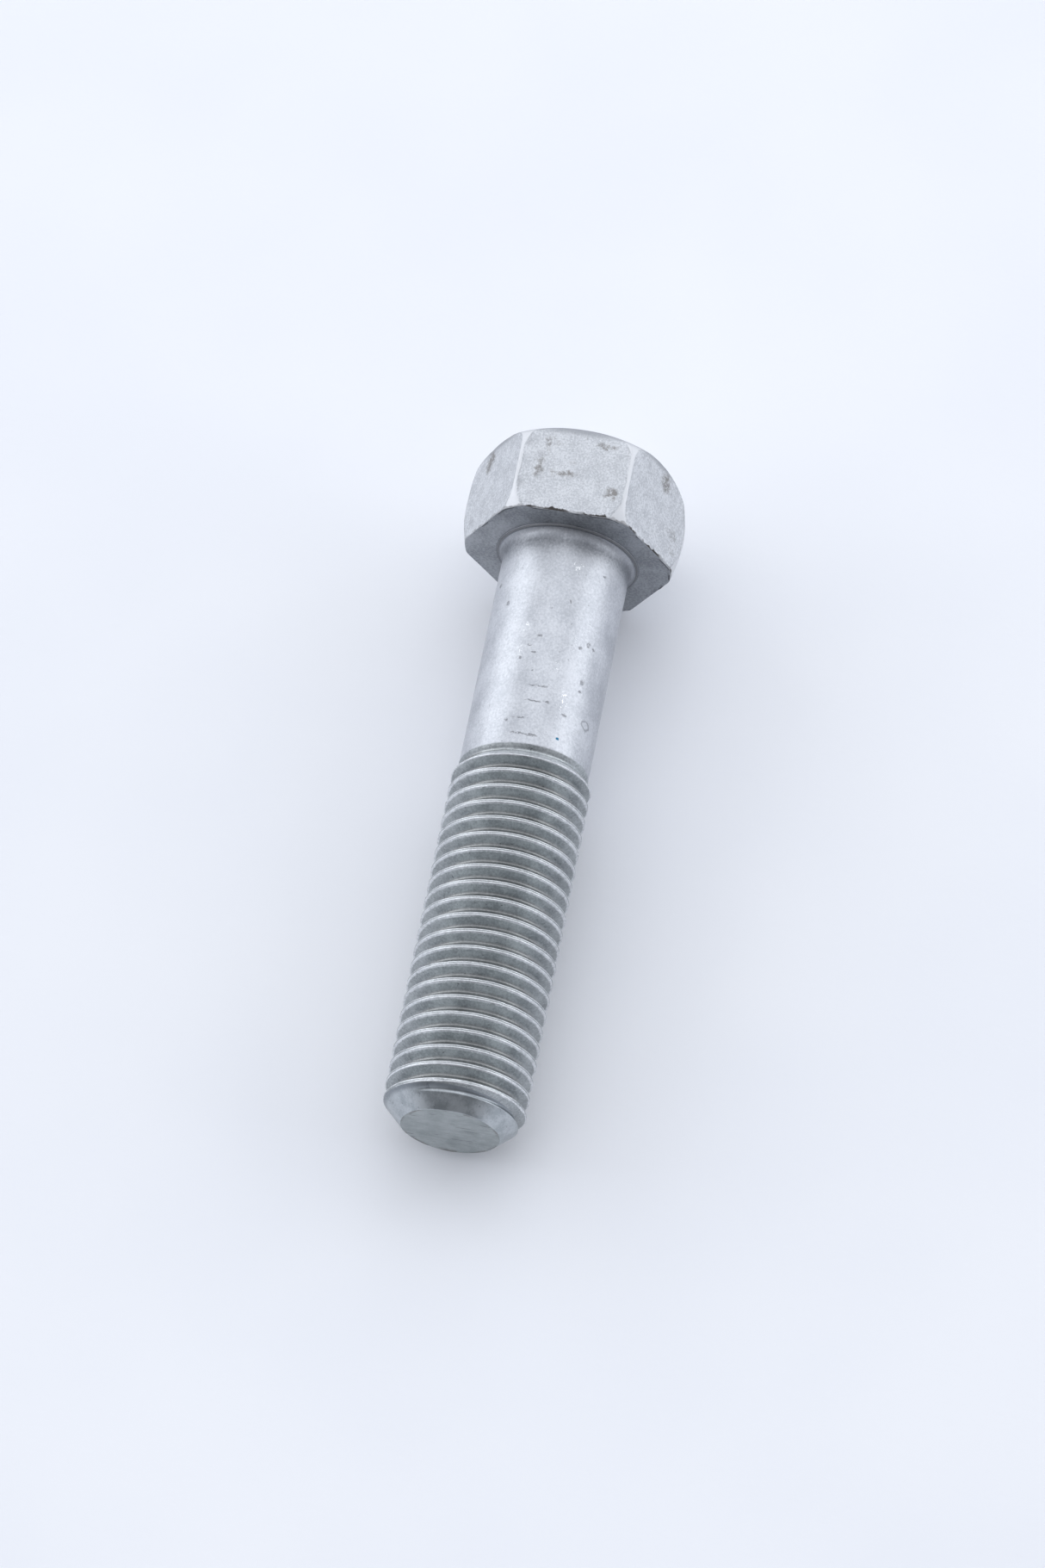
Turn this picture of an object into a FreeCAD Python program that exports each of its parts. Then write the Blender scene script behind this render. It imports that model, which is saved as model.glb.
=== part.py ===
import FreeCAD, Part

import math
import os

import Sketcher

# Hexagon head bolt M10 x 1.25 x 45 with a reduced shank and a rolled right-hand thread, 14 mm spanner size.
# It is one forging, so it is one body.
#
# Frame: the origin is on the bolt's axis in the plane of the bearing face (the underside of the head).
# +X runs along the axis to the tip and +Z is square to one of the six flats.

# Driving dimensions in millimetres. Diameters are called circles where they are not a wall of their own.
DIMENSIONS = {
    "across_flats": 13.8,
    "head_height": 7.0,
    "corner_round": 0.35,
    "bearing_circle": 14.96,
    "barrel_arc": 9.6,
    "crown_depth": 1.1,
    "crown_circle": 15.64,
    "crown_arc": 1.9,
    "top_circle": 13.1,
    "collar_diameter": 10.12,
    "collar_height": 0.2,
    "collar_bevel": 0.1,
    "neck_arc": 0.4,
    "shank_diameter": 9.12,
    "shoulder_start": 17.25,
    "shoulder_end": 17.65,
    "length": 45.0,
    "crest_diameter": 9.86,
    "pitch_diameter": 9.1,
    "pitch": 1.25,
    "flank_angle": 60.0,
    "root_arc": 0.2,
    "first_groove": 17.74,
    "run_out_start": 17.55,
    "run_out_slope": 32.5,
    "tip_chamfer": 1.5,
}

# The blank stands BLANK_ALLOWANCE proud of the crest, and the thread cutter a little more than that. SPARE is
# how far the other outlines run past the solid that they cut.
BLANK_ALLOWANCE = 0.07
CUTTER_ALLOWANCE = 0.09
SPARE = 1.5
TOLERANCE = 0.001

PLANES = {"XZ": "XZ_Plane", "YZ": "YZ_Plane"}

doc = FreeCAD.newDocument("hex_bolt")


def make_sheet():
    """Puts the driving dimensions in a spreadsheet, one named cell each."""
    sheet = doc.addObject("Spreadsheet::Sheet", "sizes")
    for row, (name, value) in enumerate(DIMENSIONS.items(), start=1):
        sheet.set(f"A{row}", name)
        sheet.set(f"B{row}", str(value))
        sheet.setAlias(f"B{row}", name)
    doc.recompute()
    return sheet


sizes = make_sheet()
body = doc.addObject("PartDesign::Body", "hex_bolt")
body.Label = "hex_bolt"


def number(expression):
    """The present value of an expression over the sheet."""
    value = sizes.evalExpression(expression)
    return float(getattr(value, "Value", value))


def new_sketch(name, plane):
    """An empty sketch on one of the body's own origin planes."""
    sketch = body.newObject("Sketcher::SketchObject", name)
    support = next(item for item in body.Origin.OriginFeatures if item.Role == PLANES[plane])
    sketch.AttachmentSupport = [(support, "")]
    sketch.MapMode = "FlatFace"
    return sketch


def pin_corner(sketch, edge, end, corner):
    """Ties one end of an edge to the sheet: an expression for each coordinate, or an axis where it is 0."""
    for axis, kind, expression in ((-2, "DistanceX", corner[0]), (-1, "DistanceY", corner[1])):
        if expression == "0":
            sketch.addConstraint(Sketcher.Constraint("PointOnObject", edge, end, axis))
            continue
        index = sketch.addConstraint(Sketcher.Constraint(kind, edge, end, number(expression)))
        sketch.setExpression(f"Constraints[{index}]", expression)


def arc_between(start, end, radius, side):
    """The short arc from start to end, bulging to the left of the way there for side 1, else to the right."""
    chord = end - start
    normal = FreeCAD.Vector(-chord.y, chord.x, 0).normalize() * side
    rise = radius - math.sqrt(radius**2 - (chord.Length / 2) ** 2)
    return Part.Arc(start, start + chord * 0.5 + normal * rise, end)


def draw_outline(sketch, corners, arcs=None):
    """Draws a closed outline through the corners.

    arcs maps a corner's number to (radius expression, side) where the edge that leaves it is an arc.
    """
    arcs = arcs or {}
    points = [FreeCAD.Vector(number(x), number(y), 0) for x, y in corners]
    ends = []
    for index, start in enumerate(points):
        finish = points[(index + 1) % len(points)]
        if index in arcs:
            radius, side = arcs[index]
            edge = sketch.addGeometry(arc_between(start, finish, number(radius), side))
            forwards = (sketch.getPoint(edge, 1) - start).Length < TOLERANCE
            ends.append((edge, 1, 2) if forwards else (edge, 2, 1))
        else:
            edge = sketch.addGeometry(Part.LineSegment(start, finish))
            ends.append((edge, 1, 2))
    for index, (edge, first, last) in enumerate(ends):
        following, joined, _ = ends[(index + 1) % len(ends)]
        sketch.addConstraint(Sketcher.Constraint("Coincident", edge, last, following, joined))
        pin_corner(sketch, edge, first, corners[index])
    for index, (radius, _) in arcs.items():
        constraint = sketch.addConstraint(Sketcher.Constraint("Radius", ends[index][0], number(radius)))
        sketch.setExpression(f"Constraints[{constraint}]", radius)


def turn(kind, name, sketch):
    """Revolves a sketch right round the bolt's axis, as a Revolution that adds or a Groove that cuts."""
    feature = body.newObject(f"PartDesign::{kind}", name)
    feature.Profile = sketch
    feature.ReferenceAxis = (sketch, ["H_Axis"])
    feature.Angle = 360
    doc.recompute()
    return feature


def make_blank():
    """The round bar that the stem is made from, a little larger all over than the finished stem."""
    inside = f"-{SPARE}"
    wide = f"sizes.collar_diameter / 2 + {SPARE / 2}"
    narrow = f"sizes.crest_diameter / 2 + {BLANK_ALLOWANCE}"
    end = f"sizes.length + {SPARE / 2}"
    step = f"sizes.collar_height + sizes.collar_bevel + sizes.neck_arc + {SPARE}"
    sketch = new_sketch("blank_outline", "XZ")
    corners = [(inside, "0"), (inside, wide), (step, wide), (step, narrow), (end, narrow), (end, "0")]
    draw_outline(sketch, corners)
    return turn("Revolution", "blank", sketch)


def make_thread():
    """Cuts the thread as one helical groove with 60 degree flanks and a round root."""
    half_flank = "(sizes.flank_angle / 2)"
    apex = f"(sizes.pitch_diameter / 2 - sizes.pitch / 4 / tan({half_flank} * 1 deg))"
    start = "(sizes.first_groove - sizes.pitch)"
    mouth = f"(sizes.crest_diameter / 2 + {CUTTER_ALLOWANCE})"
    mouth_half = f"(({mouth} - {apex}) * tan({half_flank} * 1 deg))"
    root_half = f"(sizes.root_arc * cos({half_flank} * 1 deg))"
    root_height = f"({apex} + {root_half} / tan({half_flank} * 1 deg))"
    sketch = new_sketch("thread_outline", "XZ")
    draw_outline(
        sketch,
        [
            (f"{start} - {mouth_half}", mouth),
            (f"{start} - {root_half}", root_height),
            (f"{start} + {root_half}", root_height),
            (f"{start} + {mouth_half}", mouth),
        ],
        {1: ("sizes.root_arc", -1)},
    )
    groove = body.newObject("PartDesign::SubtractiveHelix", "thread")
    groove.Profile = sketch
    groove.ReferenceAxis = (sketch, ["H_Axis"])
    groove.Mode = "pitch-height-angle"
    groove.setExpression("Pitch", "sizes.pitch")
    groove.setExpression("Height", f"sizes.length + {SPARE} - {start}")
    groove.LeftHanded = False
    doc.recompute()
    return groove


def make_run_out():
    """Fills the groove's first turn with a cone, so that it rises out of the stem beside the shank."""
    top = f"(sizes.crest_diameter / 2 + {BLANK_ALLOWANCE / 2})"
    bottom = "(sizes.pitch_diameter / 2 - sizes.pitch / 2)"
    slope = "tan(sizes.run_out_slope * 1 deg)"
    x_top = f"(sizes.run_out_start - ({top} - sizes.shank_diameter / 2) / {slope})"
    x_bottom = f"(sizes.run_out_start - ({bottom} - sizes.shank_diameter / 2) / {slope})"
    inside = "(sizes.first_groove - sizes.pitch * 2)"
    sketch = new_sketch("run_out_outline", "XZ")
    draw_outline(sketch, [(inside, "0"), (inside, top), (x_top, top), (x_bottom, bottom), (x_bottom, "0")])
    return turn("Revolution", "run_out", sketch)


def make_stem():
    """Turns the stem to its finished outline: collar, neck fillet, shank, shoulder, thread crest and tip."""
    shank = "sizes.shank_diameter / 2"
    crest = "sizes.crest_diameter / 2"
    collar = "sizes.collar_diameter / 2"
    bevel_end = "(sizes.collar_height + sizes.collar_bevel)"
    neck_end = f"({bevel_end} + sizes.neck_arc)"
    outside = f"({collar} + {SPARE})"
    beyond = f"sizes.length + {SPARE}"
    corners = [
        ("0", collar),
        ("sizes.collar_height", collar),
        (bevel_end, f"{shank} + sizes.neck_arc"),
        (neck_end, shank),
        ("sizes.shoulder_start", shank),
        ("sizes.shoulder_end", crest),
        ("sizes.length - sizes.tip_chamfer", crest),
        ("sizes.length", f"{crest} - sizes.tip_chamfer"),
        ("sizes.length", "0"),
        (beyond, "0"),
        (beyond, outside),
        ("0", outside),
    ]
    sketch = new_sketch("stem_outline", "XZ")
    draw_outline(sketch, corners, {2: ("sizes.neck_arc", -1)})
    return turn("Groove", "stem", sketch)


def make_head():
    """The hexagon, with a flat square to +Z, then its corners."""
    half = "(sizes.across_flats / 2)"
    corner = "(sizes.across_flats / 2 / cos(30 deg))"
    side = f"({corner} / 2)"
    sketch = new_sketch("hexagon", "YZ")
    draw_outline(
        sketch,
        [
            (corner, "0"),
            (side, half),
            (f"-{side}", half),
            (f"-{corner}", "0"),
            (f"-{side}", f"-{half}"),
            (side, f"-{half}"),
        ],
    )
    pad = body.newObject("PartDesign::Pad", "head")
    pad.Profile = sketch
    pad.setExpression("Length", "sizes.head_height")
    pad.Reversed = True
    doc.recompute()
    return pad


def round_corners(pad):
    """Rounds the six long edges between the flats."""
    height = number("sizes.head_height")
    reach = number("sizes.across_flats / 2 / cos(30 deg)")
    names = []
    for index, edge in enumerate(pad.Shape.Edges, start=1):
        middle = edge.CenterOfMass
        at_corner = abs(math.hypot(middle.y, middle.z) - reach) < TOLERANCE
        if at_corner and abs(edge.Length - height) < TOLERANCE:
            names.append(f"Edge{index}")
    fillet = body.newObject("PartDesign::Fillet", "corner_rounds")
    fillet.Base = (pad, names)
    fillet.setExpression("Radius", "sizes.corner_round")
    doc.recompute()
    return len(names)


def make_barrel():
    """Trims the head's corners to the barrel and crown that forging leaves."""
    far = f"(sizes.across_flats / 2 / cos(30 deg) + {SPARE})"
    top = "(-sizes.head_height)"
    corners = [
        ("0", "sizes.bearing_circle / 2"),
        (f"{top} + sizes.crown_depth", "sizes.crown_circle / 2"),
        (top, "sizes.top_circle / 2"),
        (f"{top} - {SPARE}", "sizes.top_circle / 2"),
        (f"{top} - {SPARE}", far),
        (f"{SPARE}", far),
        (f"{SPARE}", "sizes.bearing_circle / 2"),
    ]
    sketch = new_sketch("head_outline", "XZ")
    draw_outline(sketch, corners, {0: ("sizes.barrel_arc", -1), 1: ("sizes.crown_arc", -1)})
    return turn("Groove", "head_barrel", sketch)


def check(name, before, after, adds):
    """Stops if a feature changed the solid the wrong way or not at all."""
    change = after - before
    if change * (1 if adds else -1) <= 0:
        raise RuntimeError(f"{name} changed the volume by {change:.3f} mm3")
    print(f"{name:14s} {change:+10.2f} mm3  total {after:9.2f}")


def build():
    """Makes the features in order and checks that each one adds or cuts."""
    volume = 0.0
    steps = [
        ("blank", make_blank, True),
        ("thread", make_thread, False),
        ("run_out", make_run_out, True),
        ("stem", make_stem, False),
        ("head", make_head, True),
    ]
    for name, make, adds in steps:
        feature = make()
        check(name, volume, feature.Shape.Volume, adds)
        volume = feature.Shape.Volume
    if round_corners(feature) != 6:
        raise RuntimeError("the head does not have six corner edges")
    check("corner_rounds", volume, body.Shape.Volume, False)
    volume = body.Shape.Volume
    make_barrel()
    check("head_barrel", volume, body.Shape.Volume, False)


def verify():
    """Stops if any object failed or the finished shape is not one valid solid."""
    doc.recompute()
    for item in doc.Objects:
        if {"Invalid", "Error"} & set(item.State):
            raise RuntimeError(f"{item.Name}: {item.State}")
    shape = body.Shape
    if shape.isNull() or not shape.isValid() or len(shape.Solids) != 1:
        raise RuntimeError("hex_bolt is not one valid solid")


build()
verify()
os.makedirs("parts", exist_ok=True)
body.Shape.exportStep(f"parts/{body.Label}.step")
box = body.Shape.optimalBoundingBox(True, False)
print("box", [round(value, 3) for value in (box.XMin, box.XMax, box.YMin, box.YMax, box.ZMin, box.ZMax)])
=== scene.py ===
import math

import bpy
import numpy as np
from mathutils import Matrix, Vector, noise


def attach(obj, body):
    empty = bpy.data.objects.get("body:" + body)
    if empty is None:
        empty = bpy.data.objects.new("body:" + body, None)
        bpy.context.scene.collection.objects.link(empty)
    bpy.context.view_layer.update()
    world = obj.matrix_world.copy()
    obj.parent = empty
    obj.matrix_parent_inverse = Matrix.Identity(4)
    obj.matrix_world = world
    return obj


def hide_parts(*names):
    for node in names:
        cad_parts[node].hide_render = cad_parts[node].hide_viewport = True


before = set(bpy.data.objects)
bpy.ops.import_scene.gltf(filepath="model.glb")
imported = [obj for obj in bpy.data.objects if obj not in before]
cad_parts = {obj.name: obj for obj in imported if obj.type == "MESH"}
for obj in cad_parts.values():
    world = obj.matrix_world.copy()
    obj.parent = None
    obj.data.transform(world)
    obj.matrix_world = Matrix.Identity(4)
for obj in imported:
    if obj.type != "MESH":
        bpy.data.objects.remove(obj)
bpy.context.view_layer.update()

# The bolt lies along +X with its bearing face at x = 0. The mesh is worked out in millimetres and angles are
# measured round the axis from +Y towards +Z.
MM = 0.001
TURN = 2 * math.pi
TOP = math.pi / 2

# Head
HALF_FLATS = 6.9
HEAD_HEIGHT = 7.0
BARREL_RADIUS = 8.0
BARREL_ARC = 11.2
BARREL_MIDDLE = 3.5
TOP_RADIUS = 6.55
CROWN_SLOPE = 2.5
CROWN_BLEND = 1.4
CORNER_BLEND = 0.1
TOP_DISH = 0.06
FULLER_CORNER = 0.1
FULLER_WIDTH = 0.3
BLUNT_CORNER = 0.3
BLUNT_WIDTH = 0.45
BLUNT_BLEND = 1.6
HEAD_WAVES = 0.022
BEARING_WAVES = 0.012
BURR_HEIGHT = 0.09
# (distance inwards from the bearing face's edge, share of the burr's height)
BURR_STEPS = ((0.0, 0.0), (0.035, 1.0), (0.08, 0.9), (0.14, 0.3))

# Stem
SHANK_RADIUS = 4.56
COLLAR_RADIUS = 5.1
# (distance from the bearing face, height over the shank) down the collar's outer edge, over its rim, across
# the shallow step inside it and down the neck fillet.
COLLAR_STEPS = (
    (0.0, 0.54), (0.06, 0.53), (0.11, 0.5), (0.14, 0.46), (0.15, 0.42), (0.14, 0.37), (0.13, 0.33),
    (0.15, 0.29), (0.22, 0.22), (0.32, 0.15), (0.44, 0.09), (0.6, 0.04), (0.8, 0.01), (0.98, 0.0),
)
# Above this height over the shank the collar has the bearing face's finish.
RIM_FOOT = 0.4
SHOULDER_START = 17.5
SHOULDER_END = 17.95
CREST_RADIUS = 4.93
LENGTH = 45.0
TIP_CHAMFER = 1.5
CHAMFER_BLEND = 0.12
END_RADIUS = CREST_RADIUS - TIP_CHAMFER
STEM_WAVES = 0.012
TIP_WAVES = 0.06
SHEAR_DEPTH = 0.03

# Thread
PITCH = 1.25
PITCH_RADIUS = 4.565
FLANK_SLOPE = 1 / math.tan(math.radians(30))
ROOT_ARC = 0.2
FIRST_GROOVE = 17.74
# Up to here the surface is shank wherever the groove doesn't cut it.
THREAD_EDGE = 17.9
# At its start the groove's head side and tip side have these shares of the full slope, and it is START_LIFT
# shallower. RUN_OUT_LIFT takes it out of the surface further back, and TIP_LIFT makes its end shallower.
START_SLOPES = (0.33, 0.55)
START_LIFT = 0.1
RUN_OUT_LIFT = 1.2
TIP_LIFT = 0.17
# Where the last full crest is, and the lip that the groove leaves in the chamfer.
LAST_CREST = 43.4
LAST_LIP = 44.0
SEAM_DEPTH = 0.03
SEAM_WIDTH = 0.034
NICK_DEPTH = 0.05
LIP = 0.035

# Mesh
TOP_SHARES = (0.12, 0.3, 0.5, 0.7, 0.85, 0.94, 0.985)
BEARING_SHARES = (0.05, 0.15, 0.3, 0.45, 0.6, 0.75, 0.87, 0.96)
END_SHARES = (0.985, 0.95, 0.85, 0.7, 0.5, 0.3, 0.12)
COLUMNS = 180
CORNER_CROWDING = 0.72
WEDGE_ROWS = 24
SPIRAL_START = 19.0
SPIRAL_TURNS = 18
LAST_RING_GAP = 0.55
# Heights of the head's rows over the bearing face, closest at the crown and at the bearing edge.
HEAD_ROWS = (
    HEAD_HEIGHT - 0.02,
    *np.linspace(HEAD_HEIGHT - 0.1, HEAD_HEIGHT - 2.0, 16),
    *np.linspace(HEAD_HEIGHT - 2.3, 1.2, 10),
    0.9, 0.65, 0.45, 0.3, 0.18, 0.1, 0.04,
)
SHANK_RINGS = np.linspace(1.3, 16.9, 18)
SHOULDER_RINGS = np.linspace(17.0, SPIRAL_START - 0.6, 28)
CHAMFER_RING_GAP = 0.05
# Distances from the groove's middle to its mesh rows, on one side of the groove; the other side mirrors them.
GROOVE_ROWS = (0.0, 0.1, 0.2, 0.36, 0.49, 0.52, 0.55, 0.575, 0.6, 0.625)


def fade(low, high, value):
    """0 below low, 1 above high and a smooth rise between."""
    share = np.clip((value - low) / (high - low), 0, 1)
    return share * share * (3 - 2 * share)


def smooth_min(a, b, width):
    """The smaller of a and b, with their meeting rounded over width."""
    share = np.clip(0.5 + 0.5 * (b - a) / width, 0, 1)
    return b * (1 - share) + a * share - width * share * (1 - share)


def noise_at(x, radius, angle, scale, seed):
    """Smooth noise, about -1 to 1, at each place, with features about scale millimetres across."""
    x, radius, angle = np.broadcast_arrays(x, radius, angle)
    places = np.column_stack([x, radius * np.cos(angle), radius * np.sin(angle)]) / scale + seed * 7.31
    return np.array([noise.noise(Vector(place)) for place in places])


def near_corner(angle, degrees, width):
    """1 at an angle round the axis, falling to 0 about width radians away."""
    return np.exp(-((((angle - math.radians(degrees) + math.pi) % TURN - math.pi) / width) ** 2))


def from_flat(angle):
    """The angle from the middle of the nearest flat."""
    return (angle - TOP + math.pi / 6) % (math.pi / 3) - math.pi / 6


def on_groove(x, angle):
    """How far a place is from the groove's middle, and the turns that the groove has made since the top."""
    turns = (x - FIRST_GROOVE) / PITCH - (angle - TOP) / TURN
    whole = np.round(turns)
    return (turns - whole) * PITCH, whole + (angle - TOP) / TURN


def head_outline(height, angle):
    """The head's radius at a height over the bearing face: the hexagon with its corners kept inside a barrel.

    The two upper corners are fuller at the bearing face than the rest, and the one at 0 degrees is blunter.
    """
    hexagon = HALF_FLATS / np.cos(from_flat(angle))
    barrel = BARREL_RADIUS - (height - BARREL_MIDDLE) ** 2 / (2 * BARREL_ARC)
    fuller = near_corner(angle, 60, FULLER_WIDTH) + near_corner(angle, 120, FULLER_WIDTH)
    barrel = barrel + FULLER_CORNER * fuller * fade(3.0, 0.0, height)
    blunt = near_corner(angle, 0, BLUNT_WIDTH) * fade(2.0, 6.0, height)
    crown = TOP_RADIUS + (HEAD_HEIGHT - height) * CROWN_SLOPE
    limit = smooth_min(barrel, crown, CROWN_BLEND + BLUNT_BLEND * blunt) - BLUNT_CORNER * blunt
    uneven = HEAD_WAVES * noise_at(-height, hexagon, angle, 2.6, 3)
    return smooth_min(hexagon, limit, CORNER_BLEND) + uneven


def stem_outline(x):
    """The stem's radius without its collar and thread: shank, shoulder, crest and tip chamfer."""
    rise = (CREST_RADIUS - SHANK_RADIUS) * fade(SHOULDER_START, SHOULDER_END, x)
    return smooth_min(SHANK_RADIUS + rise, END_RADIUS + LENGTH - x, CHAMFER_BLEND)


def thread_cut(x, angle):
    """The radius that the groove leaves at a place, and how far that place is from the groove's middle."""
    offset, wound = on_groove(x, angle)
    apex = PITCH_RADIUS - PITCH / 4 * FLANK_SLOPE
    formed = fade(0.1, 0.75, wound)
    open_side = np.where(offset < 0, *START_SLOPES)
    slope = FLANK_SLOPE * (open_side + (1 - open_side) * formed)
    lift = START_LIFT * (1 - formed) + RUN_OUT_LIFT * fade(-0.2, -0.55, wound)
    lift = lift + TIP_LIFT * fade(LAST_CREST, LAST_LIP, x)
    tangent = ROOT_ARC * math.cos(math.radians(30))
    distance = np.abs(offset)
    root = apex + 2 * ROOT_ARC - np.sqrt(np.maximum(ROOT_ARC**2 - np.minimum(distance, tangent) ** 2, 0))
    flank = apex + 2 * ROOT_ARC - ROOT_ARC / 2 + (distance - tangent) * slope
    return np.where(distance < tangent, root, flank) + lift, offset


def stem_surface(x, angle):
    """The finished stem's radius, with the seam that rolling leaves along the middle of the crest."""
    body = stem_outline(x)
    groove, offset = thread_cut(x, angle)
    radius = smooth_min(body, groove, LIP)
    off_crest = PITCH / 2 - np.abs(offset)
    seam = SEAM_DEPTH * np.exp(-((off_crest / SEAM_WIDTH) ** 2))
    on_crest = fade(17.6, 18.2, x) * fade(LAST_LIP, LAST_CREST, x)
    nick = NICK_DEPTH * fade(0.4, 0.75, noise_at(x, radius, angle, 0.5, 1)) * fade(0.2, 0.08, off_crest)
    wander = (STEM_WAVES + TIP_WAVES * fade(44.3, 44.95, x)) * noise_at(x, radius, angle, 1.6, 2)
    return radius - (seam + nick) * on_crest + wander


class Grid:
    """Vertices and faces of one closed skin, wound so that normals point outwards."""

    def __init__(self):
        self.places = []
        self.faces = []
        self.zones = []

    def add(self, x, radius, angle):
        """Adds a row of vertices and gives their numbers."""
        x, radius, angle = np.broadcast_arrays(x, radius, angle)
        start = len(self.places)
        rows = np.column_stack([x, radius * np.cos(angle), radius * np.sin(angle)])
        self.places.extend(rows.tolist())
        return list(range(start, start + len(rows)))

    def band(self, near, far, zone, closed=True):
        """Quads between two rows of equal length, the second nearer to the tip."""
        count = len(near)
        for j in range(count if closed else count - 1):
            k = (j + 1) % count
            self.faces.append((near[j], near[k], far[k], far[j]))
            self.zones.append(zone)

    def zip(self, left, right, zone):
        """Triangles between two chains that both run towards the tip, left at the smaller angle."""
        i, j = 0, 0
        while i < len(left) - 1 or j < len(right) - 1:
            next_left = self.places[left[i + 1]][0] if i < len(left) - 1 else math.inf
            next_right = self.places[right[j + 1]][0] if j < len(right) - 1 else math.inf
            if next_left <= next_right:
                self.faces.append((left[i], right[j], left[i + 1]))
                i += 1
            else:
                self.faces.append((left[i], right[j], right[j + 1]))
                j += 1
            self.zones.append(zone)

    def fan(self, row, middle, zone, outwards):
        """Triangles from a closed row to one vertex; outwards is 1 at the tip and -1 at the head."""
        count = len(row)
        for j in range(count):
            k = (j + 1) % count
            self.faces.append((row[j], row[k], middle) if outwards > 0 else (row[k], row[j], middle))
            self.zones.append(zone)


# Which finish a face has: places in the list of materials.
FLATS, UNDERSIDE, SHANK, THREAD, CHAMFER, END_FACE = range(6)
even_angles = np.arange(COLUMNS) / COLUMNS * TURN
head_angles = even_angles - CORNER_CROWDING / 6 * np.sin(6 * even_angles)


def build_head(grid):
    """The head from the middle of its top face to the foot of the collar. Gives its last row."""
    middle = grid.add([-HEAD_HEIGHT + TOP_DISH], [0.0], [0.0])[0]
    top_edge = head_outline(HEAD_HEIGHT, head_angles)
    last = None
    for share in TOP_SHARES:
        dish = TOP_DISH * (1 - share**4)
        row = grid.add(-HEAD_HEIGHT + dish, top_edge * share, head_angles)
        if last is None:
            grid.fan(row, middle, FLATS, -1)
        else:
            grid.band(last, row, FLATS)
        last = row
    for height in HEAD_ROWS:
        row = grid.add(-height, head_outline(height, head_angles), head_angles)
        grid.band(last, row, FLATS)
        last = row
    edge = head_outline(0, head_angles)
    coarse = noise_at(0.0, edge, head_angles, 2.0, 8)
    burr = fade(-0.1, 0.5, noise_at(0.0, edge, head_angles, 0.6, 4) + 0.5 * coarse)
    for inwards, height in BURR_STEPS:
        row = grid.add(BURR_HEIGHT * burr * height, edge - inwards, head_angles)
        grid.band(last, row, UNDERSIDE if inwards > 0 else FLATS)
        last = row
    for share in BEARING_SHARES:
        radius = (edge - BURR_STEPS[-1][0]) * (1 - share) + COLLAR_RADIUS * share
        angle = head_angles * (1 - share) + even_angles * share
        row = grid.add(BEARING_WAVES * noise_at(0.0, radius, angle, 1.4, 5) * (1 - share), radius, angle)
        grid.band(last, row, UNDERSIDE)
        last = row
    return last


def stem_row(grid, x, angle=even_angles):
    x = np.broadcast_to(x, np.shape(angle))
    return grid.add(x, stem_surface(x, angle), angle)


def build_shank(grid, last):
    """Rings from the collar to where the spiral rows start."""
    for x, over in COLLAR_STEPS:
        row = grid.add(x, SHANK_RADIUS + over, even_angles)
        grid.band(last, row, UNDERSIDE if over > RIM_FOOT else SHANK)
        last = row
    for zone, rings in ((SHANK, SHANK_RINGS), (THREAD, SHOULDER_RINGS)):
        for x in rings:
            row = stem_row(grid, x)
            grid.band(last, row, zone)
            last = row
    return last


def spiral_rows():
    """Row positions within one pitch, counted from a crest's middle."""
    below = [PITCH / 2 - d for d in GROOVE_ROWS[:0:-1]]
    above = [PITCH / 2 + d for d in GROOVE_ROWS[:-1]]
    return below + above


def build_thread(grid, ring):
    """The thread as one spiral sheet whose rows follow the helix, joined to a ring at each end."""
    steps = spiral_rows()
    per_turn = len(steps)
    # The first crest's place at 0 degrees, a quarter turn before the top.
    first_crest = FIRST_GROOVE + PITCH / 2 - PITCH / 4
    start = first_crest + PITCH * math.ceil((SPIRAL_START - first_crest) / PITCH)
    rows = []
    total = SPIRAL_TURNS * per_turn
    for i in range(total + per_turn + 1):
        base = start + PITCH * (i // per_turn) + steps[i % per_turn]
        angle = even_angles if i <= total else even_angles[:1]
        rows.append(stem_row(grid, base + PITCH * angle / TURN, angle))

    def corner(i, j):
        return rows[i][j] if j < COLUMNS else rows[i + per_turn][0]

    for i in range(total):
        near = [corner(i, j) for j in range(COLUMNS + 1)]
        far = [corner(i + 1, j) for j in range(COLUMNS + 1)]
        grid.band(near, far, THREAD, closed=False)

    # Head end: rows fan out from the ring to the spiral's first row.
    ring_x = grid.places[ring[0]][0]
    first_x = np.array([grid.places[v][0] for v in rows[0]])
    chains = [list(ring)]
    for k in range(1, WEDGE_ROWS):
        chains.append(stem_row(grid, ring_x + (first_x - ring_x) * k / WEDGE_ROWS))
    chains.append(rows[0])
    for near, far in zip(chains, chains[1:]):
        grid.band(near, far, THREAD, closed=False)
    seam = [chain[0] for chain in chains] + [rows[i][0] for i in range(1, per_turn + 1)]
    grid.zip([chain[-1] for chain in chains], seam, THREAD)

    # Tip end: the same, from the spiral's last row to a ring.
    end_x = start + PITCH * (SPIRAL_TURNS + 1) + LAST_RING_GAP
    angles = np.append(even_angles[1:], TURN)
    last_x = start + PITCH * SPIRAL_TURNS + steps[0] + PITCH * angles / TURN
    chains = [[corner(total, j) for j in range(1, COLUMNS + 1)]]
    for k in range(1, WEDGE_ROWS + 1):
        chains.append(stem_row(grid, last_x + (end_x - last_x) * k / WEDGE_ROWS, angles))
    for near, far in zip(chains, chains[1:]):
        grid.band(near, far, THREAD, closed=False)
    seam = [rows[i][0] for i in range(total, total + per_turn + 1)] + [chain[-1] for chain in chains[1:]]
    grid.zip(seam, [chain[0] for chain in chains], THREAD)
    ring = chains[-1]
    return ring[-1:] + ring[:-1], end_x


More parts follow.
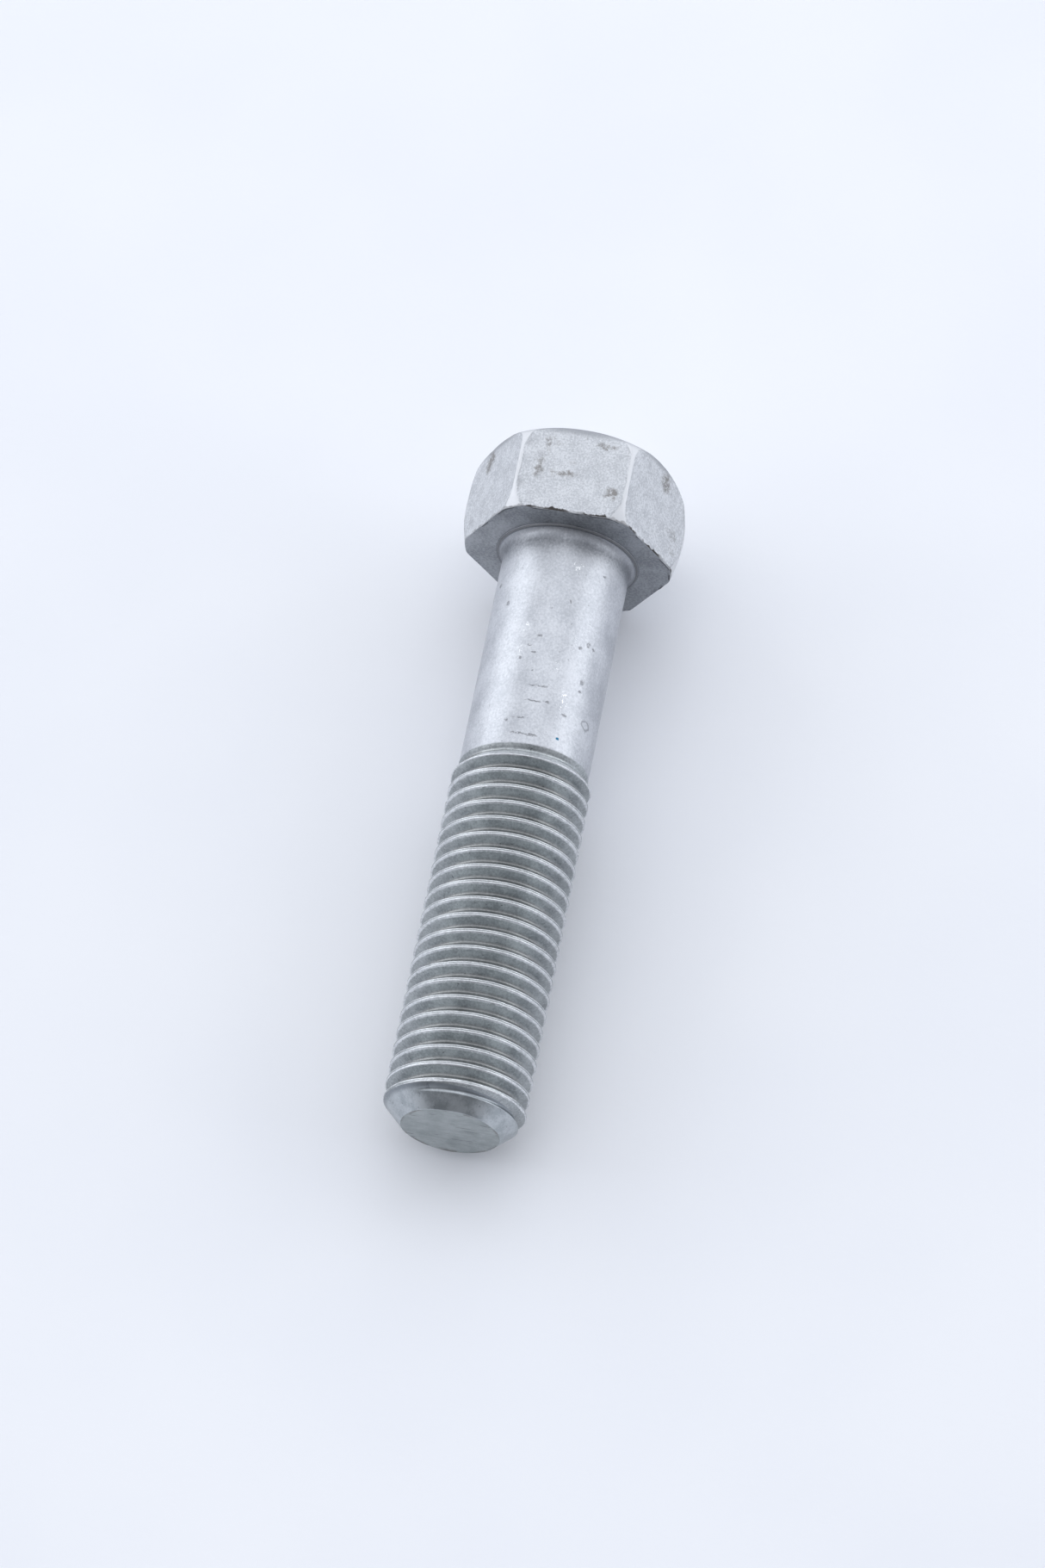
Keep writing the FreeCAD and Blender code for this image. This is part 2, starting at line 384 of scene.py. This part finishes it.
def build_tip(grid, last, start):
    """Rings over the chamfer and the sheared end face."""
    for x in np.append(np.arange(start + CHAMFER_RING_GAP, LENGTH - 0.02, CHAMFER_RING_GAP), LENGTH - 0.01):
        row = stem_row(grid, x)
        grid.band(last, row, CHAMFER)
        last = row
    edge = stem_surface(np.full(COLUMNS, LENGTH), even_angles)
    for share in END_SHARES:
        sheared = SHEAR_DEPTH * (noise_at(LENGTH, edge * share, even_angles, 1.1, 6) - 1)
        row = grid.add(LENGTH + sheared, edge * share, even_angles)
        grid.band(last, row, END_FACE)
        last = row
    grid.fan(last, grid.add([LENGTH - SHEAR_DEPTH], [0.0], [0.0])[0], END_FACE, 1)


def store_tone_masks(mesh, places):
    """Stores where the surface is painted pale (1), for rubbed coating and painted highlight together, and
    where the thread roots and the head's crown are darker (1), for the finishes to read.
    """
    x = places[:, 0]
    radius = np.hypot(places[:, 1], places[:, 2])
    angle = np.arctan2(places[:, 2], places[:, 1]) % TURN
    off_flat = from_flat(angle)
    on_head = x < 0
    # Corner facets, painted pale for wear and painted highlight: where the barrel or the crown cuts the
    # hexagon back, and along the ridge itself.
    cut_back = HALF_FLATS / np.cos(off_flat) - radius
    off_corner = radius * np.sin(math.pi / 6 - np.abs(off_flat))
    uneven = noise_at(x, radius, angle, 0.9, 9)
    facet = np.maximum(fade(0.0, 0.1, cut_back + 0.03 * uneven), fade(0.22, 0.08, off_corner + 0.05 * uneven))
    facet = facet * fade(6.9, 7.1, radius) * on_head
    # Thread: the two lips of each crest and the first turn's tip side, painted pale for wear and painted
    # highlight, the tip-side lip paler than the head-side one, with the seam between the lips left out; and
    # the roots, which are darker.
    offset, wound = on_groove(x, angle)
    off_crest = PITCH / 2 - np.abs(offset)
    on_thread = fade(17.7, 18.0, x)
    crest = fade(0.17, 0.1, off_crest) * on_thread * fade(44.5, 43.7, x)
    land = fade(CREST_RADIUS - 0.12, CREST_RADIUS - 0.03, radius) * (x > 17.6)
    root = fade(0.4, 0.6, off_crest) * on_thread
    seam = fade(0.06, 0.03, off_crest) * on_thread * fade(44.0, 43.0, x)
    crown = fade(-6.1, -6.7, x) * fade(6.0, 6.4, radius)
    lip_wear_and_highlight = np.maximum(crest * 0.7, land) * np.where(offset < 0, 1.0, 0.72) - seam
    lead_in = fade(0.7, 0.35, wound) * fade(0.06, 0.2, offset) * (x > 17.5)
    worn_and_highlit = np.maximum(facet, np.maximum(lip_wear_and_highlight, lead_in))
    for name, values in (("worn_and_highlit", worn_and_highlit), ("dark_roots_and_crown", np.maximum(root, crown))):
        layer = mesh.attributes.new(name, "FLOAT", "POINT")
        layer.data.foreach_set("value", values.astype(np.float32))


def build_bolt():
    grid = Grid()
    last = build_head(grid)
    last = build_shank(grid, last)
    last, start = build_thread(grid, last)
    build_tip(grid, last, start)
    places = np.array(grid.places)
    zones = np.array(grid.zones)
    # Before the first groove the surface is still shank.
    for index in np.nonzero(zones == THREAD)[0]:
        x, y, z = places[list(grid.faces[index])].mean(axis=0)
        if x < THREAD_EDGE and thread_cut(x, math.atan2(z, y))[0] > SHANK_RADIUS - 0.01:
            zones[index] = SHANK
    mesh = bpy.data.meshes.new("hex_bolt_body")
    mesh.from_pydata((places * MM).tolist(), [], grid.faces)
    mesh.polygons.foreach_set("material_index", zones)
    mesh.shade_smooth()
    store_tone_masks(mesh, places)
    mesh.validate()
    piece = bpy.data.objects.new("hex_bolt_body", mesh)
    bpy.context.collection.objects.link(piece)
    return piece


class Coat:
    """One procedural finish: helpers that add nodes, with numbers or other nodes' outputs as their inputs."""

    def __init__(self, name, metallic, specular):
        self.material = bpy.data.materials.new(name)
        self.material.use_nodes = True
        self.shader = self.material.node_tree.nodes["Principled BSDF"]
        self.shader.inputs["Metallic"].default_value = metallic
        self.shader.inputs["Specular IOR Level"].default_value = specular
        place = self.node("ShaderNodeTexCoord", {}).outputs["Object"]
        self.place = self.vector("SCALE", place, Scale=1 / MM)

    def node(self, kind, inputs, **settings):
        made = self.material.node_tree.nodes.new(kind)
        for name, value in settings.items():
            setattr(made, name, value)
        for name, value in inputs.items():
            if isinstance(value, bpy.types.NodeSocket):
                self.material.node_tree.links.new(value, made.inputs[name])
            else:
                made.inputs[name].default_value = value
        return made

    def maths(self, operation, a, b):
        return self.node("ShaderNodeMath", {0: a, 1: b}, operation=operation).outputs[0]

    def vector(self, operation, a, b=(0, 0, 0), **more):
        made = self.node("ShaderNodeVectorMath", {0: a, 1: b, **more}, operation=operation)
        return made.outputs["Value" if operation == "LENGTH" else "Vector"]

    def noise(self, size, detail=2.0, place=None, roughness=0.5):
        """Noise, 0 to 1, with features about size millimetres across."""
        inputs = {"Vector": place or self.place, "Scale": 1 / size, "Detail": detail, "Roughness": roughness}
        return self.node("ShaderNodeTexNoise", inputs).outputs["Fac"]

    def step(self, value, low, high, first=0.0, last=1.0):
        """first below low, last above high and a smooth rise between."""
        inputs = {"Value": value, "From Min": low, "From Max": high, "To Min": first, "To Max": last}
        return self.node("ShaderNodeMapRange", inputs, interpolation_type="SMOOTHSTEP").outputs["Result"]

    def plus(self, first, second, weight):
        return self.maths("ADD", first, self.maths("MULTIPLY", second, weight))

    def mix(self, share, first, last, strength=1.0):
        """first where share is 0, and last where it is 1 and the strength is 1."""
        if strength != 1.0:
            share = self.maths("MULTIPLY", share, strength)

        def colour(value):
            return (*value, 1.0) if isinstance(value, tuple) else value

        made = self.node("ShaderNodeMix", {0: share, 6: colour(first), 7: colour(last)}, data_type="RGBA")
        return made.outputs[2]

    def stored(self, name):
        return self.node("ShaderNodeAttribute", {}, attribute_name=name).outputs["Fac"]

    def along(self, axis):
        """The place's coordinate along one axis of the bolt."""
        return self.node("ShaderNodeSeparateXYZ", {"Vector": self.place}).outputs[axis]

    def off_axis(self):
        """The distance from the bolt's own axis."""
        return self.vector("LENGTH", self.vector("MULTIPLY", self.place, (0, 1, 1)))

    def spot(self, centre, half, soft):
        """1 inside an ellipsoid, given by its centre and its half sizes, fading to 0 at its edge."""
        gap = self.vector("SUBTRACT", self.ragged, centre)
        reach = self.vector("LENGTH", self.vector("DIVIDE", gap, half))
        return self.step(reach, 1.0, 1.0 - soft)

    def gather(self, masks):
        total = masks[0]
        for mask in masks[1:]:
            total = self.maths("MAXIMUM", total, mask)
        return total

    def rag(self, size, amount):
        """Makes later spots ragged, by shifting places with noise."""
        swirl = self.node("ShaderNodeTexNoise", {"Vector": self.place, "Scale": 1 / size, "Detail": 2.0})
        shift = self.vector("SUBTRACT", swirl.outputs["Color"], (0.5, 0.5, 0.5))
        self.ragged = self.vector("ADD", self.place, self.vector("SCALE", shift, Scale=amount))

    def finish(self, colour, roughness, height, depth):
        """Connects the surface. depth is the relief in micrometres for heights of 0 to 1."""
        inputs = {"Height": height, "Distance": depth * 1e-6, "Strength": 1.0}
        normal = self.node("ShaderNodeBump", inputs).outputs["Normal"]
        for name, value in (("Base Color", colour), ("Roughness", roughness), ("Normal", normal)):
            self.material.node_tree.links.new(value, self.shader.inputs[name])
        return self.material


def on_stem(x, degrees):
    """The point on the shank at x and at an angle round it."""
    angle = math.radians(degrees)
    return (x, SHANK_RADIUS * math.cos(angle), SHANK_RADIUS * math.sin(angle))


# Colours, as linear red, green and blue
FLAT_DARK = (0.46, 0.475, 0.5)
FLAT_PALE = (0.665, 0.68, 0.705)
# Pale corner facets: wear and painted highlight.
FACET_PALE = (0.67, 0.68, 0.7)
FACET_EDGE = (0.25, 0.25, 0.27)
CROWN_GREY = (0.31, 0.32, 0.345)
SCUFF = (0.19, 0.18, 0.17)
TORN_EDGE = (0.05, 0.045, 0.043)
BEARING_DARK = (0.25, 0.265, 0.285)
BEARING_PALE = (0.46, 0.477, 0.505)
COLLAR_RIM = (0.52, 0.535, 0.56)
COLLAR_LINE = (0.12, 0.125, 0.14)
BURR_DARK = (0.06, 0.06, 0.065)
SHANK_DARK = (0.42, 0.435, 0.465)
SHANK_PALE = (0.62, 0.635, 0.665)
NECK_SHADE = (0.24, 0.25, 0.275)
RING_STAIN = (0.2, 0.205, 0.22)
DENT = (0.14, 0.14, 0.145)
GLINT = (0.93, 0.94, 0.95)
BLUE_SPECK = (0.03, 0.16, 0.27)
FLANK_DARK = (0.29, 0.31, 0.32)
FLANK_PALE = (0.5, 0.527, 0.535)
FLANK_PIT = (0.1, 0.1, 0.105)
ROOT_DARK_BROWN = (0.17, 0.16, 0.148)
# Crest colours: wear and painted highlight.
CREST_DARK = (0.6, 0.615, 0.635)
CREST_PALE = (0.78, 0.795, 0.815)
CHAMFER_DARK = (0.38, 0.41, 0.43)
CHAMFER_PALE = (0.52, 0.55, 0.57)
CHAMFER_BAND = (0.22, 0.24, 0.265)
# Dark smears, also painted dark reflection.
CHAMFER_SMEAR_AND_DARK_REFLECTION = (0.12, 0.13, 0.15)
# Paler lip: wear and painted highlight.
CHAMFER_LIP = (0.55, 0.575, 0.59)
END_DARK = (0.34, 0.37, 0.375)
END_PALE = (0.48, 0.51, 0.515)
END_NICK = (0.15, 0.155, 0.165)
END_STAIN = (0.2, 0.185, 0.17)
FLOOR_DARK = (0.855, 0.868, 0.905)
FLOOR_PALE = (0.88, 0.89, 0.92)

# Rubs on the flats, where the coating is broken into dark specks: centre, half sizes, strength.
FLAT_RUBS = (
    ((-3.3, -2.5, 6.9), (1.5, 0.7, 0.6), 0.7),
    ((-3.0, -0.7, 6.9), (0.45, 1.7, 0.6), 0.8),
    ((-4.1, -0.2, 6.9), (0.3, 0.6, 0.6), 0.45),
    ((-1.9, 2.95, 6.9), (0.95, 0.8, 0.6), 0.85),
    ((-5.75, 2.0, 6.9), (0.5, 1.4, 0.6), 0.7),
    ((-5.4, -2.1, 6.9), (0.9, 0.6, 0.6), 0.65),
    ((-1.3, -1.0, 6.9), (0.4, 1.6, 0.6), 0.2),
    ((-5.7, -6.5, 2.5), (1.6, 0.9, 1.2), 0.8),
    ((-5.6, 6.2, 3.05), (1.3, 1.0, 1.2), 0.8),
    ((-1.3, 7.3, 1.1), (0.9, 0.8, 1.2), 0.45),
)


def flats_material():
    """Matt powdery zinc: fine grain, pale corner facets (wear and painted highlight), a grey crown, dark rubs
    and a dark torn edge.
    """
    coat = Coat("zinc_flats", metallic=0.75, specular=0.5)
    grain = coat.noise(0.15, detail=3.0, roughness=0.7)
    cloud = coat.noise(1.1, detail=5.0, roughness=0.65)
    tone = coat.plus(coat.maths("MULTIPLY", grain, 0.7), cloud, 0.3)
    colour = coat.mix(coat.step(tone, 0.39, 0.61), FLAT_DARK, FLAT_PALE)
    # Corner facets and ridges painted pale: wear and painted highlight.
    worn_and_highlit = coat.stored("worn_and_highlit")
    facet = coat.step(coat.plus(worn_and_highlit, grain, 0.7), 0.55, 1.15)
    colour = coat.mix(facet, colour, FACET_PALE)
    colour = coat.mix(coat.stored("dark_roots_and_crown"), colour, CROWN_GREY, 0.85)
    rim = coat.maths("MULTIPLY", coat.step(worn_and_highlit, 0.04, 0.2), coat.step(worn_and_highlit, 0.5, 0.28))
    rim = coat.maths("MULTIPLY", rim, coat.step(coat.noise(0.9), 0.38, 0.6))
    colour = coat.mix(rim, colour, FACET_EDGE, 0.4)
    coat.rag(0.8, 0.8)
    named = coat.gather([
        coat.maths("MULTIPLY", coat.spot(centre, half, 0.8), strength) for centre, half, strength in FLAT_RUBS
    ])
    stray = coat.step(coat.noise(2.6, detail=3.0), 0.56, 0.78, 0.0, 0.5)
    spread = coat.maths("MAXIMUM", named, stray)
    specks = coat.noise(0.26, detail=4.0, roughness=0.75)
    rubs_and_highlight = coat.plus(specks, spread, 0.26)
    rub = coat.maths("MULTIPLY", coat.step(rubs_and_highlight, 0.52, 0.76), coat.step(spread, 0.02, 0.8))
    pits = coat.step(coat.noise(0.34, detail=1.0), 0.74, 0.8)
    rub = coat.maths("MAXIMUM", coat.maths("MULTIPLY", rub, 0.85), coat.maths("MULTIPLY", pits, 0.4))
    colour = coat.mix(rub, colour, SCUFF)
    edge = coat.plus(coat.along("X"), coat.noise(0.45, detail=3.0), 0.6)
    patchy = coat.step(coat.noise(1.4), 0.36, 0.56, 0.3, 1.0)
    heavy = coat.step(coat.along("Y"), -4.6, -3.2, 0.35, 1.0)
    torn = coat.maths("MULTIPLY", coat.step(edge, 0.11, 0.2), coat.maths("MULTIPLY", patchy, heavy))
    colour = coat.mix(torn, colour, TORN_EDGE)
    roughness = coat.plus(coat.step(grain, 0.3, 0.7, 0.5, 0.62), rub, -0.12)
    height = coat.maths("SUBTRACT", coat.maths("ADD", grain, cloud), rub)
    return coat.finish(colour, roughness, height, 10)


def underside_material():
    """The bearing face and collar: darker, finely grained zinc, with a pale rim and a dark line round it."""
    coat = Coat("zinc_underside", metallic=0.85, specular=0.5)
    grain = coat.noise(0.2, detail=3.0, roughness=0.7)
    cloud = coat.noise(2.2)
    tone = coat.plus(coat.maths("MULTIPLY", grain, 0.6), cloud, 0.4)
    colour = coat.mix(coat.step(tone, 0.36, 0.64), BEARING_DARK, BEARING_PALE)
    along = coat.along("X")
    reach = coat.off_axis()
    ring = coat.maths("MULTIPLY", coat.step(reach, 5.12, 5.06), coat.step(along, 0.02, 0.06))
    colour = coat.mix(ring, colour, COLLAR_RIM)
    rim = coat.maths("MULTIPLY", coat.step(reach, 5.08, 5.12), coat.step(reach, 5.24, 5.14))
    colour = coat.mix(rim, colour, COLLAR_LINE, 0.6)
    edge = coat.plus(along, coat.noise(0.4, detail=3.0), 0.05)
    colour = coat.mix(coat.step(edge, 0.05, 0.075, 0.0, 0.7), colour, BURR_DARK)
    roughness = coat.step(grain, 0.3, 0.7, 0.4, 0.52)
    return coat.finish(colour, roughness, tone, 5)


# Marks on the shank: (x, degrees round from +Y, half length along X, half width round the shank).
SHANK_DENTS = (
    (16.57, 96, 0.1, 0.75), (16.6, 84, 0.14, 0.7), (15.35, 97, 0.09, 0.8), (13.95, 88, 0.07, 0.8),
    (13.85, 76, 0.1, 0.3), (12.72, 90, 0.06, 0.7), (12.7, 81, 0.1, 0.3), (15.6, 108, 0.14, 0.16),
    (8.78, 92.8, 0.11, 0.24), (9.54, 101, 0.16, 0.2), (10.13, 96, 0.1, 0.2), (10.6, 107, 0.12, 0.1),
    (5.95, 133, 0.28, 0.16), (4.0, 152, 0.22, 0.3), (5.68, 72.7, 0.15, 0.07), (8.32, 47.3, 0.28, 0.1),
    (8.9, 55.3, 0.12, 0.1), (8.5, 40.5, 0.12, 0.1), (11.34, 46.4, 0.26, 0.1), (12.1, 47, 0.1, 0.08),
    (14.4, 58, 0.12, 0.28), (11.6, 94, 0.08, 0.1), (2.7, 44, 0.1, 0.1), (11.9, 255, 0.1, 0.9),
    (6.4, 300, 0.3, 0.15), (9.2, 212, 0.12, 0.6),
)
SHANK_GLINTS = (
    (2.9, 72, 0.75, 0.7), (8.2, 107, 0.9, 0.4), (10.0, 109, 0.6, 0.45), (13.3, 62, 1.3, 0.7),
    (11.0, 74, 0.7, 0.5), (16.4, 67, 0.2, 0.3), (8.5, 60, 0.4, 0.4), (7.0, 230, 1.0, 0.6),
)


def shank_material():
    """Satin zinc with painted shade at the neck, dark dents, painted glints, a ring stain and one blue speck.
    """
    coat = Coat("zinc_shank", metallic=1.0, specular=0.5)
    grain = coat.noise(0.18, detail=3.0, roughness=0.75)
    cloud = coat.noise(2.4, detail=4.0, roughness=0.6)
    tone = coat.plus(coat.maths("MULTIPLY", grain, 0.5), cloud, 0.5)
    colour = coat.mix(coat.step(tone, 0.34, 0.66), SHANK_DARK, SHANK_PALE)
    shade = coat.step(coat.plus(coat.along("X"), grain, 2.4), 1.3, 3.1, 0.6, 0.0)
    colour = coat.mix(shade, colour, NECK_SHADE)
    coat.rag(0.35, 0.28)

    def patches(rows, thickness):
        masks = []
        for x, degrees, half_long, half_round in rows:
            angle = math.radians(degrees)
            across = math.hypot(half_round * math.sin(angle), thickness * math.cos(angle))
            upright = math.hypot(half_round * math.cos(angle), thickness * math.sin(angle))
            masks.append(coat.spot(on_stem(x, degrees), (half_long, across, upright), 0.6))
        return coat.gather(masks)

    dents = coat.maths("MULTIPLY", patches(SHANK_DENTS, 0.3), coat.step(coat.noise(0.2), 0.3, 0.5))
    flecks = coat.step(coat.noise(0.17, detail=2.0, roughness=0.6), 0.57, 0.66, 0.0, 0.85)
    glints = coat.maths("MULTIPLY", patches(SHANK_GLINTS, 0.4), flecks)
    pits = coat.step(coat.noise(0.3, detail=1.0), 0.74, 0.79)
    dents = coat.maths("MAXIMUM", dents, coat.maths("MULTIPLY", pits, 0.5))
    gap = coat.vector("SUBTRACT", coat.ragged, on_stem(14.2, 32))
    reach = coat.vector("LENGTH", coat.vector("DIVIDE", gap, (0.36, 0.36, 0.55)))
    stain = coat.maths("MULTIPLY", coat.step(reach, 0.6, 0.85), coat.step(reach, 1.2, 0.98))
    colour = coat.mix(stain, colour, RING_STAIN, 0.55)
    colour = coat.mix(dents, colour, DENT, 0.62)
    colour = coat.mix(glints, colour, GLINT)
    speck = coat.spot(on_stem(16.3, 60), (0.15, 0.15, 0.15), 0.4)
    colour = coat.mix(speck, colour, BLUE_SPECK)
    roughness = coat.step(cloud, 0.3, 0.7, 0.4, 0.5)
    roughness = coat.maths("SUBTRACT", roughness, coat.maths("MULTIPLY", glints, 0.12))
    height = coat.plus(tone, dents, -3.0)
    height = coat.plus(height, glints, 1.5)
    return coat.finish(colour, roughness, height, 6)


def thread_material():
    """Dark satin flanks with small pits, pale streaked crests with wear and painted highlight, and a darker
    brownish line in the roots.
    """
    coat = Coat("zinc_thread", metallic=1.0, specular=0.5)
    grain = coat.noise(0.17, detail=3.0, roughness=0.7)
    cloud = coat.noise(1.6, detail=3.0)
    tone = coat.plus(coat.maths("MULTIPLY", grain, 0.6), cloud, 0.4)
    flank = coat.mix(coat.step(tone, 0.36, 0.64), FLANK_DARK, FLANK_PALE)
    flank = coat.mix(coat.stored("dark_roots_and_crown"), flank, ROOT_DARK_BROWN, 0.55)
    pits = coat.step(coat.noise(0.26, detail=1.0), 0.72, 0.78)
    flank = coat.mix(pits, flank, FLANK_PIT, 0.6)
    streaks = coat.step(coat.noise(0.3, detail=3.0, roughness=0.7), 0.36, 0.62)
    land = coat.mix(streaks, CREST_DARK, CREST_PALE)
    # The crests are painted pale: wear and painted highlight.
    ragged = coat.plus(coat.stored("worn_and_highlit"), coat.noise(0.22), 0.5)
    rubs_and_highlight = coat.step(ragged, 0.6, 0.9)
    colour = coat.mix(rubs_and_highlight, flank, land)
    roughness = coat.plus(coat.step(tone, 0.3, 0.7, 0.34, 0.44), rubs_and_highlight, 0.03)
    height = coat.plus(tone, coat.maths("MULTIPLY", rubs_and_highlight, streaks), 0.3)
    return coat.finish(colour, roughness, height, 5)


def chamfer_material():
    """Glossy zinc over the chamfer: pale clouds, dark smears that are also painted dark reflection, a dark
    band by the thread and a paler lip with wear and painted highlight.
    """
    coat = Coat("zinc_chamfer", metallic=1.0, specular=0.5)
    grain = coat.noise(0.14, detail=3.0, roughness=0.6)
    cloud = coat.noise(1.1, detail=3.0)
    upper = coat.step(coat.along("X"), 44.0, 43.7)
    pale = coat.step(coat.plus(cloud, grain, 0.5), 0.6, 0.9)
    colour = coat.mix(pale, CHAMFER_DARK, CHAMFER_PALE)
    colour = coat.mix(upper, colour, CHAMFER_BAND, 0.75)
    # Dark smears, which are also painted dark reflection.
    smears_and_dark_reflection = coat.step(coat.noise(0.6, detail=4.0, roughness=0.65), 0.6, 0.7)
    colour = coat.mix(smears_and_dark_reflection, colour, CHAMFER_SMEAR_AND_DARK_REFLECTION, 0.5)
    # The lip painted paler: wear and painted highlight.
    lip_wear_and_highlight = coat.step(coat.maths("ADD", coat.stored("worn_and_highlit"), grain), 1.1, 1.45)
    colour = coat.mix(lip_wear_and_highlight, colour, CHAMFER_LIP, 0.7)
    roughness = coat.step(cloud, 0.35, 0.65, 0.31, 0.38)
    height = coat.plus(grain, smears_and_dark_reflection, -0.6)
    return coat.finish(colour, roughness, height, 4)


def end_face_material():
    """The sheared end: matt, greenish grey, with faint shear lines, dark nicks and a stained edge."""
    coat = Coat("zinc_end_face", metallic=0.85, specular=0.5)
    grain = coat.noise(0.15, detail=3.0, roughness=0.65)
    cloud = coat.noise(1.3, detail=3.0)
    stretched = coat.vector("MULTIPLY", coat.place, (1.0, 0.25, 2.2))
    lines = coat.noise(0.5, detail=3.0, place=stretched)
    tone = coat.plus(coat.maths("MULTIPLY", lines, 0.4), cloud, 0.6)
    colour = coat.mix(coat.step(tone, 0.32, 0.68), END_DARK, END_PALE)
    nicks = coat.step(coat.noise(0.5, detail=2.0, place=stretched), 0.61, 0.7)
    colour = coat.mix(nicks, colour, END_NICK, 0.6)
    reach = coat.plus(coat.off_axis(), coat.noise(0.6, detail=3.0), 0.5)
    stain = coat.maths("MULTIPLY", coat.step(reach, 3.4, 3.65), coat.step(coat.noise(0.9), 0.42, 0.6))
    colour = coat.mix(stain, colour, END_STAIN, 0.65)
    roughness = coat.step(grain, 0.3, 0.7, 0.48, 0.6)
    height = coat.plus(coat.maths("ADD", lines, grain), nicks, -1.0)
    return coat.finish(colour, roughness, height, 7)


def floor_material():
    """Pale matt board with a barely visible tooth."""
    coat = Coat("floor", metallic=0.0, specular=0.1)
    tooth = coat.noise(0.8, detail=3.0)
    cloud = coat.noise(25.0)
    colour = coat.mix(coat.step(cloud, 0.3, 0.7), FLOOR_DARK, FLOOR_PALE)
    roughness = coat.step(tooth, 0.3, 0.7, 0.85, 0.95)
    return coat.finish(colour, roughness, tooth, 12)


bolt = build_bolt()
for make in (
    flats_material, underside_material, shank_material, thread_material, chamfer_material, end_face_material
):
    bolt.data.materials.append(make())
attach(bolt, "root")
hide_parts("hex_bolt")

# Floor: the bolt rests on the lower edge of its bearing face and on the thread's last full crest.
floor_slope = math.atan((HALF_FLATS - CREST_RADIUS) / LAST_CREST)
floor_mesh = bpy.data.meshes.new("floor")
SIDE = 1.5
floor_corners = [(-SIDE, -SIDE, 0), (SIDE, -SIDE, 0), (SIDE, SIDE, 0), (-SIDE, SIDE, 0)]
floor_mesh.from_pydata(floor_corners, [], [(0, 1, 2, 3)])
floor = bpy.data.objects.new("floor", floor_mesh)
bpy.context.collection.objects.link(floor)
floor.location = (0, 0, -HALF_FLATS * MM)
floor.rotation_euler = (0, -floor_slope, 0)
floor_mesh.materials.append(floor_material())

# Camera
AZIMUTH = math.radians(103.81)
ELEVATION = math.radians(62.78)
ROLL = math.radians(-3.8)
DISTANCE = 0.3749
LENS = 123.17
SENSOR_WIDTH = 36
AIM = Vector((0.01819, 0.00008, 0))
camera_data = bpy.data.cameras.new("camera")
camera_data.lens = LENS
camera_data.sensor_width = SENSOR_WIDTH
camera = bpy.data.objects.new("camera", camera_data)
bpy.context.collection.objects.link(camera)
level = math.cos(ELEVATION)
back = Vector((math.sin(AZIMUTH) * level, -math.cos(AZIMUTH) * level, math.sin(ELEVATION)))
facing = (-back).to_track_quat("-Z", "Y").to_matrix().to_4x4()
camera.matrix_world = Matrix.Translation(AIM + back * DISTANCE) @ facing @ Matrix.Rotation(ROLL, 4, "Z")
camera_data.clip_start = 0.01
bpy.context.scene.camera = camera

# Light
LAMP_DISTANCE = 0.9
LAMP_COLOUR = (0.93, 0.96, 1.0)
SKY_COLOUR = (0.9, 0.93, 1, 1)
# The sky's strength falls off towards +X, the way that the tip points.
SKY_FALL = (("From Min", 0.1), ("From Max", 0.9), ("To Min", 0.74), ("To Max", 0.22))
bpy.context.scene.view_settings.view_transform = "Standard"
world = bpy.data.worlds.new("studio")
world.use_nodes = True
background = world.node_tree.nodes["Background"]
background.inputs["Color"].default_value = SKY_COLOUR
sky = world.node_tree.nodes.new("ShaderNodeTexCoord")
split = world.node_tree.nodes.new("ShaderNodeSeparateXYZ")
fall = world.node_tree.nodes.new("ShaderNodeMapRange")
for name, value in SKY_FALL:
    fall.inputs[name].default_value = value
world.node_tree.links.new(sky.outputs["Generated"], split.inputs["Vector"])
world.node_tree.links.new(split.outputs["X"], fall.inputs["Value"])
world.node_tree.links.new(fall.outputs["Result"], background.inputs["Strength"])
bpy.context.scene.world = world


def softbox(name, direction, size, power):
    data = bpy.data.lights.new(name, "AREA")
    data.shape = "RECTANGLE"
    data.size, data.size_y = size
    data.energy = power
    data.color = LAMP_COLOUR
    lamp = bpy.data.objects.new(name, data)
    bpy.context.collection.objects.link(lamp)
    away = Vector(direction).normalized()
    lamp.location = AIM + away * LAMP_DISTANCE
    lamp.rotation_mode = "QUATERNION"
    lamp.rotation_quaternion = away.to_track_quat("Z", "Y")


def heading(azimuth, elevation):
    """A direction, with its azimuth from +X towards +Y."""
    a, e = math.radians(azimuth), math.radians(elevation)
    return (math.cos(a) * math.cos(e), math.sin(a) * math.cos(e), math.sin(e))


softbox("back_left", heading(-158, 30), (1.0, 0.9), 1.3)
softbox("back_right", heading(158, 30), (1.0, 0.9), 1.9)
softbox("left", heading(-108, 20), (0.9, 0.6), 2.3)
softbox("right", heading(108, 20), (0.8, 0.6), 1.8)
softbox("front_left", heading(-68, 42), (0.8, 0.8), 1.0)
softbox("overhead", heading(180, 72), (0.6, 0.6), 0.7)
